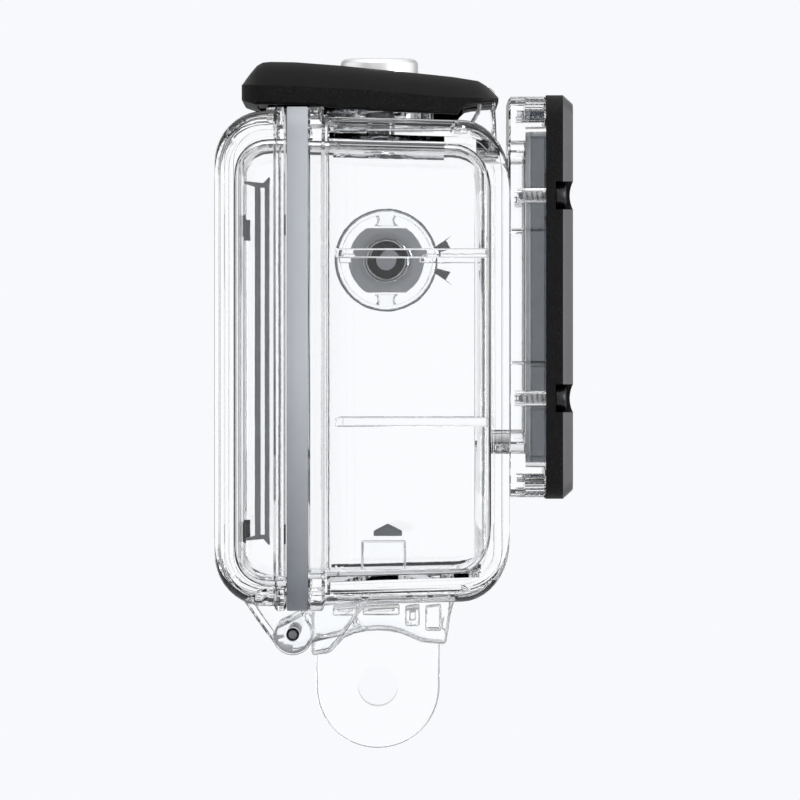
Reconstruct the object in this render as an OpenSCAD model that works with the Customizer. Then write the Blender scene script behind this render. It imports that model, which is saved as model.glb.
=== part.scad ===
// Clear waterproof housing for an action camera: a deep front shell with a lens port, a hinged
// rear door with a silicone seal, a top latch, two sprung push buttons and a two-finger mount.
// Millimetres. +X is the side with the side button, -Y is the lens side, +Z is up.
// The origin is the centre of the mount's cross bore.

/* [Shell] */
// Half of the shell's width
shell_half = 39; // [38.5:0.25:39.5]
// Height of the shell's underside at the rear
shell_low = 10.4; // [10.2:0.1:10.6]
// Height of the shell's top at the rear
shell_high = 70.6; // [70.2:0.1:70.8]
// Front face of the shell
shell_front = -16.2; // [-16.4:0.1:-16]
// Wall thickness of the clear shell
wall = 2.3; // [2:0.1:2.5]
// Radius of the shell's corners seen from the front
shell_r = 2.6; // [2.4:0.1:3]
// Fall of the top and rise of the floor towards the front
draft = 0.7; // [0.4:0.1:1]

/* [Rear door] */
// Rear face of the door
door_back = 20; // [19.8:0.1:20.2]
// Wall thickness of the door
door_wall = 2.1; // [1.8:0.1:2.3]
// Half of the flange's width, shared by shell, seal and door
flange_half = 40.7; // [40.5:0.1:41]
// Thickness of the silicone seal
seal_t = 2.7; // [2.4:0.1:2.9]

/* [Lens port] */
// Side length of the square port and of its frame
port_size = 49.8; // [49:0.2:50]
// Sideways place of the port's centre
port_x = 12; // [10:0.5:13]
// Depth of the black frame
frame_t = 3.35; // [3.1:0.05:3.5]
// Spacing of the two screws on each side of the frame
screw_gap = 25.2; // [24:0.2:26]

/* [Latch] */
// Half of the latch's width
latch_half = 29; // [28:0.5:30]
// Lifted angle is measured about this height
latch_pivot_z = 73.3; // [73.2:0.05:73.4]

/* [Buttons] */
// Sideways place of the shutter button
shutter_x = -17; // [-18:0.5:-16]
// Diameter of both button caps
cap_d = 9.6; // [9.2:0.2:9.8]

/* [Mount] */
// Radius of the cross bore
bore_r = 2.5; // [2.5:0.05:2.6]
// Thickness of one mount finger
finger_t = 3; // [2.8:0.1:3.1]
// Gap between the two fingers
finger_gap = 3.1; // [3:0.05:3.3]
// Half width of a finger and radius of its end
finger_r = 7.7; // [7.4:0.1:7.8]

/* [Hidden] */
$fn = 48;
eps = 0.02;
flange_front = 6.6;
seal_front = 8.5;
door_front = seal_front + seal_t;
flange_low = 9.8;
flange_high = 71.7;
front_r = 7;
plan_r = 1.7;
hollow_r = 1.4;
cavity_front = shell_front + wall;
cavity_low = shell_low + wall + 1.1;
cavity_high = shell_high - wall - 0.2;
port_z = 48.5;
port_half = port_size / 2;
port_front = -20.9;
port_bore = 39;
glass_half = 21.1;
glass_back = -18.9;
gasket_t = 0.6;
window_half = 18.5;
screw_off = 23;
hinge_y = 10.46;
hinge_z = 6.8;
hinge_pin_r = 0.8;
knuckle_r = 2.55;
arm_in = 25;
arm_out = 30;
lug_in = 19.4;
lug_out = 24.7;
latch_pivot_y = -13.5;
latch_pin_r = 0.6;
running = 0.06;
latch_lugs = [[-22, -17], [-3, 3], [4, 9]];
latch_pin_half = 25;
shutter_y = -0.2;
side_y = -0.8;
side_z = 53.5;
cap_r = cap_d / 2;
stem_r = 1.0;
side_stem_r = 1.3;
tube_r = 1.75;
side_tube_r = 2.2;
rib_zs = [53.7, 33];

// Extrusion of a profile drawn in the Y-Z plane, from x0 to x1
module along_x(x0, x1) {
  translate([x0, 0, 0]) rotate([90, 0, 90]) linear_extrude(x1 - x0) children();
}

// Extrusion of a profile drawn in the X-Z plane, from y0 to y1
module along_y(y0, y1) {
  translate([0, y1, 0]) rotate([90, 0, 0]) linear_extrude(y1 - y0) children();
}

// Rounded rectangle between two corners
module pill(x0, z0, x1, z1, r) {
  translate([x0 + r, z0]) square([x1 - x0 - 2 * r, z1 - z0]);
  translate([x0, z0 + r]) square([x1 - x0, z1 - z0 - 2 * r]);
  for (x = [x0 + r, x1 - r], z = [z0 + r, z1 - r]) translate([x, z]) circle(r);
}

// Point on a circle, for outlines with round corners
function on_arc(cx, cz, r, a) = [cx + r * cos(a), cz + r * sin(a)];

// Side outline that narrows to the front, with both front corners rounded
module side_outline(front, rear, low, high, r) {
  polygon(concat(
    [[rear, low], [rear, high]],
    [for (a = [90 : 15 : 180]) on_arc(front + r, high - draft - r, r, a)],
    [for (a = [180 : 15 : 270]) on_arc(front + r, low + draft + r, r, a)]
  ));
}

// Plan outline of a tray whose corners are rounded at its closed end
module plan_outline(half, open_y, closed_y, r) {
  step = closed_y > open_y ? 1 : -1;
  polygon(concat(
    [[-half, open_y], [half, open_y]],
    [for (a = [0 : 15 : 90]) [half - r + r * cos(a), closed_y - step * (r - r * sin(a))]],
    [for (a = [90 : 15 : 180]) [-half + r + r * cos(a), closed_y - step * (r - r * sin(a))]]
  ));
}

module shell_solid(grow, rear) {
  intersection() {
    along_x(-shell_half - grow, shell_half + grow)
      side_outline(shell_front - grow, rear, shell_low - grow, shell_high + grow, front_r + grow);
    along_y(shell_front - grow - 1, rear)
      pill(-shell_half - grow, shell_low - grow, shell_half + grow, shell_high + grow, shell_r + grow);
    linear_extrude(90) plan_outline(shell_half + grow, rear, shell_front - grow, plan_r + grow);
  }
}

module cavity(rear) {
  r = front_r - wall;
  half = shell_half - wall;
  intersection() {
    along_x(-half, half) side_outline(cavity_front, rear, cavity_low, cavity_high, r);
    along_y(cavity_front - 1, rear)
      pill(-half, cavity_low, half, cavity_high, hollow_r);
    linear_extrude(90) plan_outline(half, rear, cavity_front, hollow_r);
  }
}

module flange_ring(y0, y1) {
  half = shell_half - wall;
  difference() {
    along_y(y0, y1) pill(-flange_half, flange_low, flange_half, flange_high, shell_r + 1);
    along_y(y0 - 1, y1 + 1) pill(-half, cavity_low, half, cavity_high, hollow_r);
  }
}

module port_block() {
  low = port_z - port_half;
  high = port_z + port_half;
  along_y(port_front, -15.9)
    pill(port_x - port_half, low, port_x + port_half, high, 2.5);
}

module port_hollow() {
  half = port_bore / 2;
  along_y(port_front - 1, cavity_front + 1)
    pill(port_x - half, port_z - half, port_x + half, port_z + half, 3);
  along_y(port_front - 1, glass_back + gasket_t)
    pill(port_x - glass_half - running, port_z - glass_half - running,
         port_x + glass_half + running, port_z + glass_half + running, 1.5);
}

// Places of the eight frame screws, two to a side
function screw_places() = [
  for (s = [-1, 1], t = [-1, 1]) each [
    [port_x + s * screw_off, port_z + t * screw_gap / 2],
    [port_x + t * screw_gap / 2, port_z + s * screw_off]
  ]
];

// Cylinder along Y, from y0 to y1
module rod_y(x, z, r, y0, y1) {
  translate([x, y1, z]) rotate([90, 0, 0]) cylinder(h = y1 - y0, r = r);
}

// Cylinder along X, from x0 to x1
module rod_x(y, z, r, x0, x1) {
  translate([x0, y, z]) rotate([0, 90, 0]) cylinder(h = x1 - x0, r = r);
}

module mount_block() {
  pocket = finger_gap / 2 + finger_t + 3.6;
  outer = finger_gap / 2 + finger_t;
  difference() {
    along_x(-12.5, 12.5) polygon([
      [8.25, 11.5], [8.25, 3.9], [5.9, 4.3], [4.1, 6.1], [2.1, 6.8], [0, 7.05], [-2.1, 6.8],
      [-4.25, 6.1], [-5.4, 5.6], [-8.5, 5.3], [-8.8, 7.3], [-9.1, 9], [-9.7, 11.9]
    ]);
    rod_x(0, 0, 8, -pocket, pocket);
  }
  for (x = [-outer, finger_gap / 2]) difference() {
    along_x(x, x + finger_t) {
      circle(finger_r);
      translate([-finger_r, 0]) square([2 * finger_r, 8.6]);
    }
    rod_x(0, 0, bore_r, x - 1, x + finger_t + 1);
  }
}

module hinge_lugs() {
  for (s = [-1, 1]) difference() {
    mirror([s < 0 ? 1 : 0, 0, 0]) along_x(lug_in, lug_out) {
      translate([hinge_y, hinge_z]) circle(knuckle_r);
      polygon([
        [hinge_y - 1.2, hinge_z - 2], [hinge_y + 1.2, hinge_z], [seal_front, flange_low],
        [seal_front, flange_low + 1.2], [0.5, flange_low + 1.6], [4.5, 6.5]
      ]);
    }
    rod_x(hinge_y, hinge_z, hinge_pin_r, -lug_out - 1, lug_out + 1);
  }
}

module latch_lug_set() {
  difference() {
    for (span = latch_lugs) along_x(span[0] + 0.2, span[1] - 0.2) {
      translate([latch_pivot_y, latch_pivot_z]) circle(1.05);
      polygon([[-14.4, latch_pivot_z], [-12.6, latch_pivot_z], [-10.4, 69], [-14.8, 67]]);
    }
    rod_x(latch_pivot_y, latch_pivot_z, latch_pin_r, -30, 30);
  }
}

module guide_ribs() {
  half = shell_half - wall;
  difference() {
    for (s = [-1, 1], z = rib_zs) {
      x = s > 0 ? half - 1.2 : -half - eps;
      translate([x, cavity_front - eps, z - 0.6]) cube([1.2 + eps, 19.2, 1.2]);
    }
    rod_x(side_y, side_z, 4, half - 2, half + 1);
  }
}

module main_housing() {
  color([0.92, 0.95, 0.97, 0.4]) difference() {
    union() {
      difference() {
        shell_solid(0, seal_front);
        cavity(seal_front + 1);
        port_hollow();
      }
      flange_ring(flange_front, seal_front);
      hinge_lugs();
      latch_lug_set();
      guide_ribs();
      // Collar round the shutter button
      translate([shutter_x, shutter_y, shell_high - 0.6]) difference() {
        cylinder(h = 1.6, r = 6.7);
        translate([0, 0, -1]) cylinder(h = 4, r = 5.1);
      }
      // Post on the floor that locates the camera
      translate([-2.8, -3.4, cavity_low - 0.3]) cube([5.6, 5.6, 5]);
    }
    translate([shutter_x, shutter_y, 60]) cylinder(h = 20, r = tube_r);
    rod_x(side_y, side_z, side_tube_r, 30, 45);
  }
}

// Square clear block in front of the shell, open through its middle
module lens_port() {
  color([0.92, 0.95, 0.97, 0.4]) difference() {
    port_block();
    port_hollow();
    shell_solid(0, seal_front);
    for (p = screw_places()) rod_y(p[0], p[1], 0.8, -21.5, -17.4);
  }
}

module mount_foot() {
  color([0.92, 0.95, 0.97, 0.4]) mount_block();
}

module port_glass() {
  color([0.4, 0.44, 0.47, 0.6])
    along_y(port_front, glass_back)
      pill(port_x - glass_half, port_z - glass_half,
           port_x + glass_half, port_z + glass_half, 1.4);
}

module port_gasket() {
  half = port_bore / 2;
  color([0.8, 0.82, 0.84]) difference() {
    along_y(glass_back, glass_back + gasket_t)
      pill(port_x - glass_half, port_z - glass_half,
           port_x + glass_half, port_z + glass_half, 1.4);
    along_y(glass_back - 1, glass_back + 2)
      pill(port_x - half, port_z - half, port_x + half, port_z + half, 3);
  }
}

// Square with its four edges cut at the front
module frame_side() {
  back = port_front;
  front = port_front - frame_t;
  c = 1.15;
  low = port_z - port_half - 0.2;
  high = port_z + port_half + 0.2;
  polygon([
    [back, low], [back, high], [front + c, high], [front, high - c], [front, low + c], [front + c, low]
  ]);
}

module lens_frame() {
  half = port_half + 0.2;
  front = port_front - frame_t;
  c = 1.15;
  color([0.05, 0.05, 0.055]) difference() {
    intersection() {
      along_x(port_x - half, port_x + half) frame_side();
      along_y(front - 1, port_front)
        pill(port_x - half, port_z - half, port_x + half, port_z + half, 3);
      linear_extrude(90) polygon([
        [port_x - half, port_front], [port_x + half, port_front], [port_x + half, front + c],
        [port_x + half - c, front], [port_x - half + c, front], [port_x - half, front + c]
      ]);
    }
    along_y(front - 1, port_front + 1)
      pill(port_x - window_half, port_z - window_half,
           port_x + window_half, port_z + window_half, 4);
    for (p = screw_places()) {
      rod_y(p[0], p[1], 1.05, front - 1, port_front + 1);
      rod_y(p[0], p[1], 1.75, front - 1, port_front - 1.2);
    }
    // Open notches from each screw seat to the nearest side
    for (s = [-1, 1], t = [-1, 1]) {
      translate([port_x + s * (half - 0.5), 0, port_z + t * screw_gap / 2])
        translate([-1.4, front - 1, -1.75]) cube([2.8, frame_t - 0.2, 3.5]);
      translate([port_x + t * screw_gap / 2, 0, port_z + s * (half - 0.5)])
        translate([-1.75, front - 1, -1.4]) cube([3.5, frame_t - 0.2, 2.8]);
    }
  }
}

module frame_screws() {
  head_back = port_front - 1.2;
  color([0.08, 0.08, 0.09]) for (p = screw_places()) difference() {
    union() {
      rod_y(p[0], p[1], 0.8, port_front - 1.3, -17.5);
      rod_y(p[0], p[1], 1.6, head_back - 1.3, head_back);
    }
    rod_y(p[0], p[1], 0.75, head_back - 2, head_back - 0.5);
  }
}

module floor_pad() {
  top = cavity_low + 4.7;
  color([0.45, 0.47, 0.49]) along_x(-2.8, 2.8)
    polygon([[2.2, top], [2.2, top + 0.7], [-0.6, top + 1.6], [-3.4, top + 0.7], [-3.4, top]]);
}

module hinge_pin() {
  color([0.7, 0.71, 0.72]) rod_x(hinge_y, hinge_z, hinge_pin_r, -arm_out + 0.1, arm_out - 0.1);
}

module latch_pin() {
  color([0.7, 0.71, 0.72])
    rod_x(latch_pivot_y, latch_pivot_z, latch_pin_r, -latch_pin_half, latch_pin_half);
}

// Tube on +Z at the origin
module tube(r_out, r_in, h) {
  difference() {
    cylinder(h = h, r = r_out);
    translate([0, 0, -1]) cylinder(h = h + 2, r = r_in);
  }
}

module shutter_bushing() {
  color([0.25, 0.26, 0.28]) translate([shutter_x, shutter_y, cavity_high - 0.4])
    tube(tube_r, stem_r + running, 3.8);
}

module side_bushing() {
  color([0.25, 0.26, 0.28]) translate([shell_half - wall, side_y, side_z]) rotate([0, 90, 0])
    tube(side_tube_r, side_stem_r + running, 3.1);
}

// Clear ring with two tabs that keep the flat-sided cap from turning
module side_guide() {
  flat = 4.35;
  color([0.9, 0.93, 0.95, 0.5]) translate([shell_half, side_y, side_z]) rotate([0, 90, 0]) {
    tube(6.55, 5.75, 2.6);
    for (s = [-1, 1]) {
      translate([s > 0 ? flat : -5.95, -1.3, 0]) cube([1.6, 2.6, 2.6]);
      // Forked strut beside the ring, on the lens side
      linear_extrude(0.6)
        polygon([[1.5 * s, -6], [3.2 * s, -8.4], [2.5 * s, -7.6], [1.5 * s, -8.2], [1 * s, -6.2]]);
    }
  }
}

module door_side(grow) {
  top = 71.2 - grow;
  back = door_back - grow;
  high_r = 6.2 - grow;
  polygon(concat(
    [[door_front - (grow > 0 ? 1 : 0), flange_low + 0.6 + grow],
     [door_front - (grow > 0 ? 1 : 0), top]],
    [for (a = [90 : -15 : 0]) on_arc(back - high_r, top - high_r, high_r, a)],
    [for (a = [0 : -15 : -90]) on_arc(back - high_r, flange_low + 0.6 + grow + high_r, high_r, a)]
  ));
}

module door_solid(grow) {
  half = 39.6 - grow;
  low = flange_low + 0.6 + grow;
  high = 71.2 - grow;
  intersection() {
    along_x(-half, half) door_side(grow);
    along_y(door_front - 1, door_back) pill(-half, low, half, high, grow > 0 ? hollow_r : shell_r);
    linear_extrude(90)
      plan_outline(half, door_front - (grow > 0 ? 1 : 0), door_back - grow, grow > 0 ? hollow_r : plan_r);
  }
}

module rear_door() {
  color([0.92, 0.95, 0.97, 0.4]) difference() {
    union() {
      difference() {
        union() {
          door_solid(0);
          along_y(door_front, door_front + 1.4)
            pill(-flange_half, flange_low, flange_half, flange_high, shell_r + 1);
        }
        door_solid(door_wall + 0.5);
      }
      for (s = [0, 1]) mirror([s, 0, 0]) along_x(arm_in, arm_out) {
        translate([hinge_y, hinge_z]) circle(knuckle_r);
        polygon([
          [11.5, 12.6], [17.2, 12.6], [16.6, 11.1], [14.6, 8.2], [12.85, 6],
          [hinge_y, hinge_z], [door_front, 10]
        ]);
      }
      // Lip on the top edge that the latch closes over
      translate([-20, door_front + 0.2, 70]) cube([40, 2.4, 1.95]);
    }
    rod_x(hinge_y, hinge_z, hinge_pin_r + running, -arm_out - 1, arm_out + 1);
  }
}

module door_seal() {
  color([0.75, 0.79, 0.83]) difference() {
    along_y(seal_front, door_front)
      pill(-flange_half + 0.1, flange_low, flange_half - 0.1, flange_high, shell_r + 0.9);
    along_y(seal_front - 1, door_front + 1)
      pill(-flange_half + 3.3, flange_low + 3.2, flange_half - 3.3, flange_high - 3.2, hollow_r);
  }
}

// Closed loop of two thin leaves; the rear leaf's ends reach back to the door's wall
module door_cushion() {
  back = door_back - door_wall - 0.5;
  mid_z = 40.55;
  half_z = 24.85;
  color([0.42, 0.46, 0.5]) along_x(-4, 4) difference() {
    union() for (s = [-1, 1]) translate([0, mid_z]) scale([1, s]) polygon([
      [13.55, -eps], [13.55, half_z - 2.4], [12.9, half_z], [13.4, half_z], [14.4, half_z - 1.6],
      [16.9, half_z - 0.2], [back, half_z - 0.2], [back, half_z - 1.3], [15.38, half_z - 3], [15.38, -eps]
    ]);
    translate([14.12, mid_z - half_z + 3.1]) square([0.57, 2 * half_z - 6.2]);
  }
}

module pad(z, h) {
  back = door_back - door_wall - 0.5;
  for (x = [-32, 27]) translate([x, back - 1.15, z]) cube([5, 1.15, h]);
}

module upper_pad() {
  color([0.35, 0.36, 0.38]) pad(55.9, 2.6);
}

module lower_pad() {
  color([0.05, 0.05, 0.05]) pad(18.1, 2.4);
}

// Outline of the latch from the side: nose at the front, thick end at the rear
function latch_outline(drop) = [
  [16.6, 72.56], [16.75, 74.5], [15.9 + drop / 4, 76.2 - drop * 0.7], [14.4 + drop / 3, 77.45 - drop],
  [10.2, 77.44 - drop], [4.5, 76.99 - drop], [-4.9, 76.06 - drop], [-12.9 - drop / 3, 75 - drop * 0.7],
  [-14.9, 73.06], [-14.9, 72.44], [-11.6, 72.2], [-10.5, 71.8], [-9.95, 70.95],
  [-2.9, 71.2], [3.5, 71.65], [11.4, 72.15], [15.1, 72.16]
];

module latch_lever() {
  roof = 1.7;
  color([0.06, 0.06, 0.065]) difference() {
    union() {
      along_x(-latch_half + 4, latch_half - 4) polygon(latch_outline(0));
      along_x(-latch_half + 2, latch_half - 2) polygon(latch_outline(1));
      along_x(-latch_half, latch_half) polygon(latch_outline(2.3));
    }
    // Hollow underside
    along_x(-latch_half + 2.2, latch_half - 2.2) polygon([
      [14.9, 70], [14.9, 75.3 - roof + 0.5], [10.2, 77 - roof - 0.3], [4.5, 76.6 - roof - 0.3],
      [-4.9, 75.6 - roof - 0.3], [-10.9, 74.8 - roof - 0.6], [-10.9, 70]
    ]);
    translate([shutter_x, shutter_y, 70]) cylinder(h = 10, r = cap_r + 0.9);
    for (span = latch_lugs) translate([span[0] - 0.1, -17, 70])
      cube([span[1] - span[0] + 0.2, 6.2, 8]);
    rod_x(latch_pivot_y, latch_pivot_z, latch_pin_r + running,
          -latch_pin_half - 0.1, latch_pin_half + 0.1);
  }
}

module latch_hook() {
  color([0.1, 0.1, 0.11]) along_x(-14, 14) polygon([
    [14.9, 72.4], [14.9, 73.9], [11.5, 73.9], [11.5, 73.2], [13.8, 73], [13.8, 72.4]
  ]);
}

// Helix point and the tube of round wire that follows it
function ring_points(r, w, z, a, m) = [
  for (k = [0 : m - 1]) let (b = 360 * k / m, q = r + w * cos(b))
    [q * cos(a), q * sin(a), z + w * sin(b)]
];

module spring(r, w, h, turns) {
  m = 8;
  per = 14;
  n = turns * per;
  points = [
    for (i = [0 : n]) each ring_points(r, w, w + (h - 2 * w) * i / n, 360 * i / per, m)
  ];
  sides = [
    for (i = [0 : n - 1], k = [0 : m - 1]) let (j = (k + 1) % m)
      [(i + 1) * m + k, (i + 1) * m + j, i * m + j, i * m + k]
  ];
  ends = [[for (k = [0 : m - 1]) k], [for (k = [m - 1 : -1 : 0]) n * m + k]];
  polyhedron(points = points, faces = concat(sides, ends));
}

// Flat-sided or round cap, hollow underneath, top at z = 0
module cap(h, flats) {
  difference() {
    union() {
      translate([0, 0, -h]) cylinder(h = h - 0.5, r = cap_r);
      translate([0, 0, -0.5]) cylinder(h = 0.5, r1 = cap_r, r2 = cap_r - 0.5);
    }
    translate([0, 0, -h - 1]) cylinder(h = h - 0.6, r = 3.4);
    if (flats) for (s = [-1, 1])
      translate([s > 0 ? 4.1 : -6.1, -6, -h - 1]) cube([2, 12, h + 2]);
  }
}

module shutter_cap() {
  color([0.78, 0.79, 0.8]) translate([shutter_x, shutter_y, 78]) difference() {
    cap(4.6, false);
    translate([0, 0, -3]) cylinder(h = 1.6, r = stem_r + 0.01);
  }
}

// Round stem with one seal groove and one clip groove; z is measured from its inner end
module stem(r, length, groove_z, clip_z) {
  difference() {
    cylinder(h = length, r = r);
    translate([0, 0, groove_z]) tube(r + 1, r - 0.36, 0.44);
    translate([0, 0, clip_z]) tube(r + 1, r - 0.3, 0.5);
  }
}

module shutter_stem() {
  color([0.6, 0.61, 0.62]) translate([shutter_x, shutter_y, 66.4])
    stem(stem_r, 10.2, 3.2, 0.55);
}

module seal_ring(r) {
  rotate_extrude() translate([r - 0.17, 0]) circle(0.18);
}

module shutter_ring() {
  color([0.05, 0.05, 0.05]) translate([shutter_x, shutter_y, 66.4 + 3.42]) seal_ring(stem_r);
}

module shutter_clip() {
  color([0.6, 0.6, 0.6]) translate([shutter_x, shutter_y, 66.4 + 0.6]) difference() {
    tube(1.9, stem_r - 0.28, 0.4);
    translate([0, -0.5, -1]) cube([3, 1, 3]);
  }
}

module shutter_spring() {
  color([0.75, 0.75, 0.76]) translate([shutter_x, shutter_y, shell_high + 0.05])
    spring(2.6, 0.25, 5.5, 4);
}

// Places the side button's pieces with their outer end on +X
module at_side(x) {
  translate([x, side_y, side_z]) rotate([0, 90, 0]) children();
}

module side_cap() {
  color([0.42, 0.44, 0.46]) at_side(43.2) difference() {
    cap(2.6, true);
    translate([0, 0, -2]) cylinder(h = 1.2, r = side_stem_r + 0.01);
  }
}

module side_stem() {
  color([0.72, 0.73, 0.74]) at_side(33.6) stem(side_stem_r, 8.6, 4.4, 2.1);
}

module side_pusher() {
  color([0.12, 0.12, 0.13]) at_side(34.2) tube(2.4, side_stem_r, 1.1);
}

module side_ring() {
  color([0.05, 0.05, 0.05]) at_side(33.6 + 4.62) seal_ring(side_stem_r);
}

module side_clip() {
  color([0.6, 0.6, 0.6]) at_side(33.6 + 2.15) difference() {
    tube(2.5, side_stem_r - 0.28, 0.4);
    translate([0, -0.6, -1]) cube([4, 1.2, 3]);
  }
}

module side_spring() {
  color([0.75, 0.75, 0.76]) at_side(shell_half + 0.05) spring(2.8, 0.15, 2.5, 2);
}

main_housing();
lens_port();
mount_foot();
port_glass();
port_gasket();
lens_frame();
frame_screws();
floor_pad();
hinge_pin();
latch_pin();
shutter_bushing();
side_bushing();
side_guide();
rear_door();
door_seal();
door_cushion();
upper_pad();
lower_pad();
latch_lever();
latch_hook();
shutter_cap();
shutter_stem();
shutter_ring();
shutter_clip();
shutter_spring();
side_cap();
side_stem();
side_pusher();
side_ring();
side_clip();
side_spring();
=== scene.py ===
"""Clear waterproof camera housing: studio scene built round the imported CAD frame."""

import math

import bmesh
import bpy
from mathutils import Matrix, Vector

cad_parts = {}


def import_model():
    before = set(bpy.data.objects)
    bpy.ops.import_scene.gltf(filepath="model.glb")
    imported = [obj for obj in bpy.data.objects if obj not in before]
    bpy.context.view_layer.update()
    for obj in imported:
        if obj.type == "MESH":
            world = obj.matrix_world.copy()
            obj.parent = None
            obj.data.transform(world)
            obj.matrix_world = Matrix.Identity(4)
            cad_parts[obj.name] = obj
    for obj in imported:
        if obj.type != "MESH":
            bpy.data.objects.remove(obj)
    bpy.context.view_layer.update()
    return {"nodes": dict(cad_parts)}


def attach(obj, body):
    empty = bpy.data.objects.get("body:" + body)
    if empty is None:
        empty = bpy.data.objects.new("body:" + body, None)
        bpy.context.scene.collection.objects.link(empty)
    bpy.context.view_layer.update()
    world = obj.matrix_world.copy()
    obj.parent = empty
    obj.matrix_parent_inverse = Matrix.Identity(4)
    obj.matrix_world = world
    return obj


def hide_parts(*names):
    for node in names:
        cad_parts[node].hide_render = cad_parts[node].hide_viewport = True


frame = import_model()
NODES = frame["nodes"]
MM = 0.001
SCENE = bpy.context.scene


# ---------------------------------------------------------------- node helpers


class Shader:
    """A new material with one Principled shader and short calls for its nodes."""

    def __init__(self, name):
        self.mat = bpy.data.materials.new(name)
        self.mat.use_nodes = True
        self.nodes = self.mat.node_tree.nodes
        self.links = self.mat.node_tree.links
        self.bsdf = self.nodes["Principled BSDF"]
        self.coord = self.nodes.new("ShaderNodeTexCoord").outputs["Object"]

    def set(self, **values):
        for key, value in values.items():
            socket = self.bsdf.inputs[key.replace("_", " ")]
            socket.default_value = (*value, 1.0) if isinstance(value, tuple) else value
        return self

    def link(self, out, socket):
        self.links.new(out, self.bsdf.inputs[socket])

    def node(self, kind, **inputs):
        n = self.nodes.new("ShaderNode" + kind)
        for key, value in inputs.items():
            name = key.replace("_", " ")
            if hasattr(value, "is_output"):
                self.links.new(value, n.inputs[name])
            else:
                n.inputs[name].default_value = value
        return n

    def noise(self, size_mm, detail=3.0, rough=0.55, stretch=(1, 1, 1)):
        vec = self.node("Mapping", Vector=self.coord)
        vec.inputs["Scale"].default_value = stretch
        n = self.node("TexNoise", Vector=vec.outputs[0], Scale=1000.0 / size_mm, Detail=detail)
        n.inputs["Roughness"].default_value = rough
        return n.outputs["Fac"]

    def cells(self, size_mm):
        n = self.node("TexVoronoi", Vector=self.coord, Scale=1000.0 / size_mm)
        return n.outputs["Distance"]

    def ramp(self, fac, low, high, from_min=0.0, from_max=1.0):
        n = self.nodes.new("ShaderNodeMapRange")
        self.links.new(fac, n.inputs["Value"])
        n.inputs["From Min"].default_value = from_min
        n.inputs["From Max"].default_value = from_max
        n.inputs["To Min"].default_value = low
        n.inputs["To Max"].default_value = high
        return n.outputs["Result"]

    def blend(self, fac, a, b):
        n = self.nodes.new("ShaderNodeMix")
        n.data_type = "RGBA"
        self.links.new(fac, n.inputs["Factor"])
        for socket, value in ((n.inputs[6], a), (n.inputs[7], b)):
            if hasattr(value, "is_output"):
                self.links.new(value, socket)
            else:
                socket.default_value = (*value, 1.0)
        return n.outputs[2]

    def bump(self, height, depth_mm, strength=1.0, after=None):
        n = self.node("Bump", Height=height, Distance=depth_mm * MM, Strength=strength)
        if after is not None:
            self.links.new(after, n.inputs["Normal"])
        return n.outputs["Normal"]


# ---------------------------------------------------------------- materials


def clear_plastic(name, tint):
    """Clear moulding with a faint flow ripple and almost no haze."""
    ripple_mm = 0.0008
    s = Shader(name).set(
        Base_Color=tint, Transmission_Weight=1.0, IOR=1.5, Specular_IOR_Level=0.5
    )
    s.link(s.ramp(s.noise(3.0), 0.0, 0.03), "Roughness")
    flow = s.bump(s.noise(9.0, 2.0, stretch=(0.5, 1.4, 0.4)), ripple_mm * 9)
    s.link(s.bump(s.noise(1.1, 2.0), ripple_mm, after=flow), "Normal")
    return s.mat


def lens_glass():
    """Plate that is clear through its face and grey through its edge."""
    s = Shader("lens_glass").set(
        Base_Color=(0.9, 0.93, 0.95), Transmission_Weight=1.0, IOR=1.52
    )
    s.link(s.ramp(s.noise(6.0), 0.0, 0.012), "Roughness")
    s.link(s.bump(s.noise(9.0, 1.0), 0.002), "Normal")
    body = s.node("VolumeAbsorption", Color=(0.17, 0.21, 0.25, 1.0), Density=68.0)
    s.links.new(body.outputs[0], s.nodes["Material Output"].inputs["Volume"])
    return s.mat


def silicone(name, top, shaded_bottom, z_low, z_high, see_through):
    """Frosted silicone whose colour is painted lighter towards its top and darker towards its bottom:
    painted light and shade.
    """
    s = Shader(name).set(Transmission_Weight=see_through, IOR=1.41)
    # Height blend of the two tones: painted shade low down, painted light high up.
    height = s.node("SeparateXYZ", Vector=s.coord).outputs["Z"]
    fac = s.ramp(height, 0.0, 1.0, z_low * MM, z_high * MM)
    tone = s.blend(fac, shaded_bottom, top)
    mottled = s.blend(s.ramp(s.noise(2.2), 0.0, 0.12), tone, (0.95, 0.97, 1.0))
    s.link(mottled, "Base Color")
    s.link(s.ramp(s.noise(0.9), 0.32, 0.5), "Roughness")
    s.link(s.bump(s.noise(0.35), 0.012), "Normal")
    return s.mat


def moulded_black(name, rough, grain_mm, grain_depth, shine_and_painted_highlight=0.12):
    """Black plastic with fine grain and specks that are paler the deeper the grain; a shine of 0.5 or more
    also paints a paler base colour as a highlight.
    """
    s = Shader(name).set(Specular_IOR_Level=shine_and_painted_highlight)
    # A shine of 0.5 or more lifts the base colour about ninefold: a painted highlight, the plastic being as
    # black as the rest.
    paler = (0.008, 0.008, 0.0085) if shine_and_painted_highlight < 0.5 else (0.075, 0.075, 0.08)
    tone = s.blend(s.ramp(s.noise(5.0), 0.0, 1.0), tuple(0.5 * c for c in paler), paler)
    specks = s.ramp(s.noise(grain_mm, 1.0), 0.0, 1.0, 0.55, 0.75)
    tone = s.blend(specks, tone, tuple(c * (1 + 60 * grain_depth) for c in paler))
    s.link(tone, "Base Color")
    s.link(s.ramp(s.noise(1.8), rough - 0.05, rough + 0.06), "Roughness")
    pits = s.bump(s.cells(grain_mm), grain_depth)
    s.link(s.bump(s.noise(grain_mm * 1.7), grain_depth, after=pits), "Normal")
    return s.mat


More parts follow.
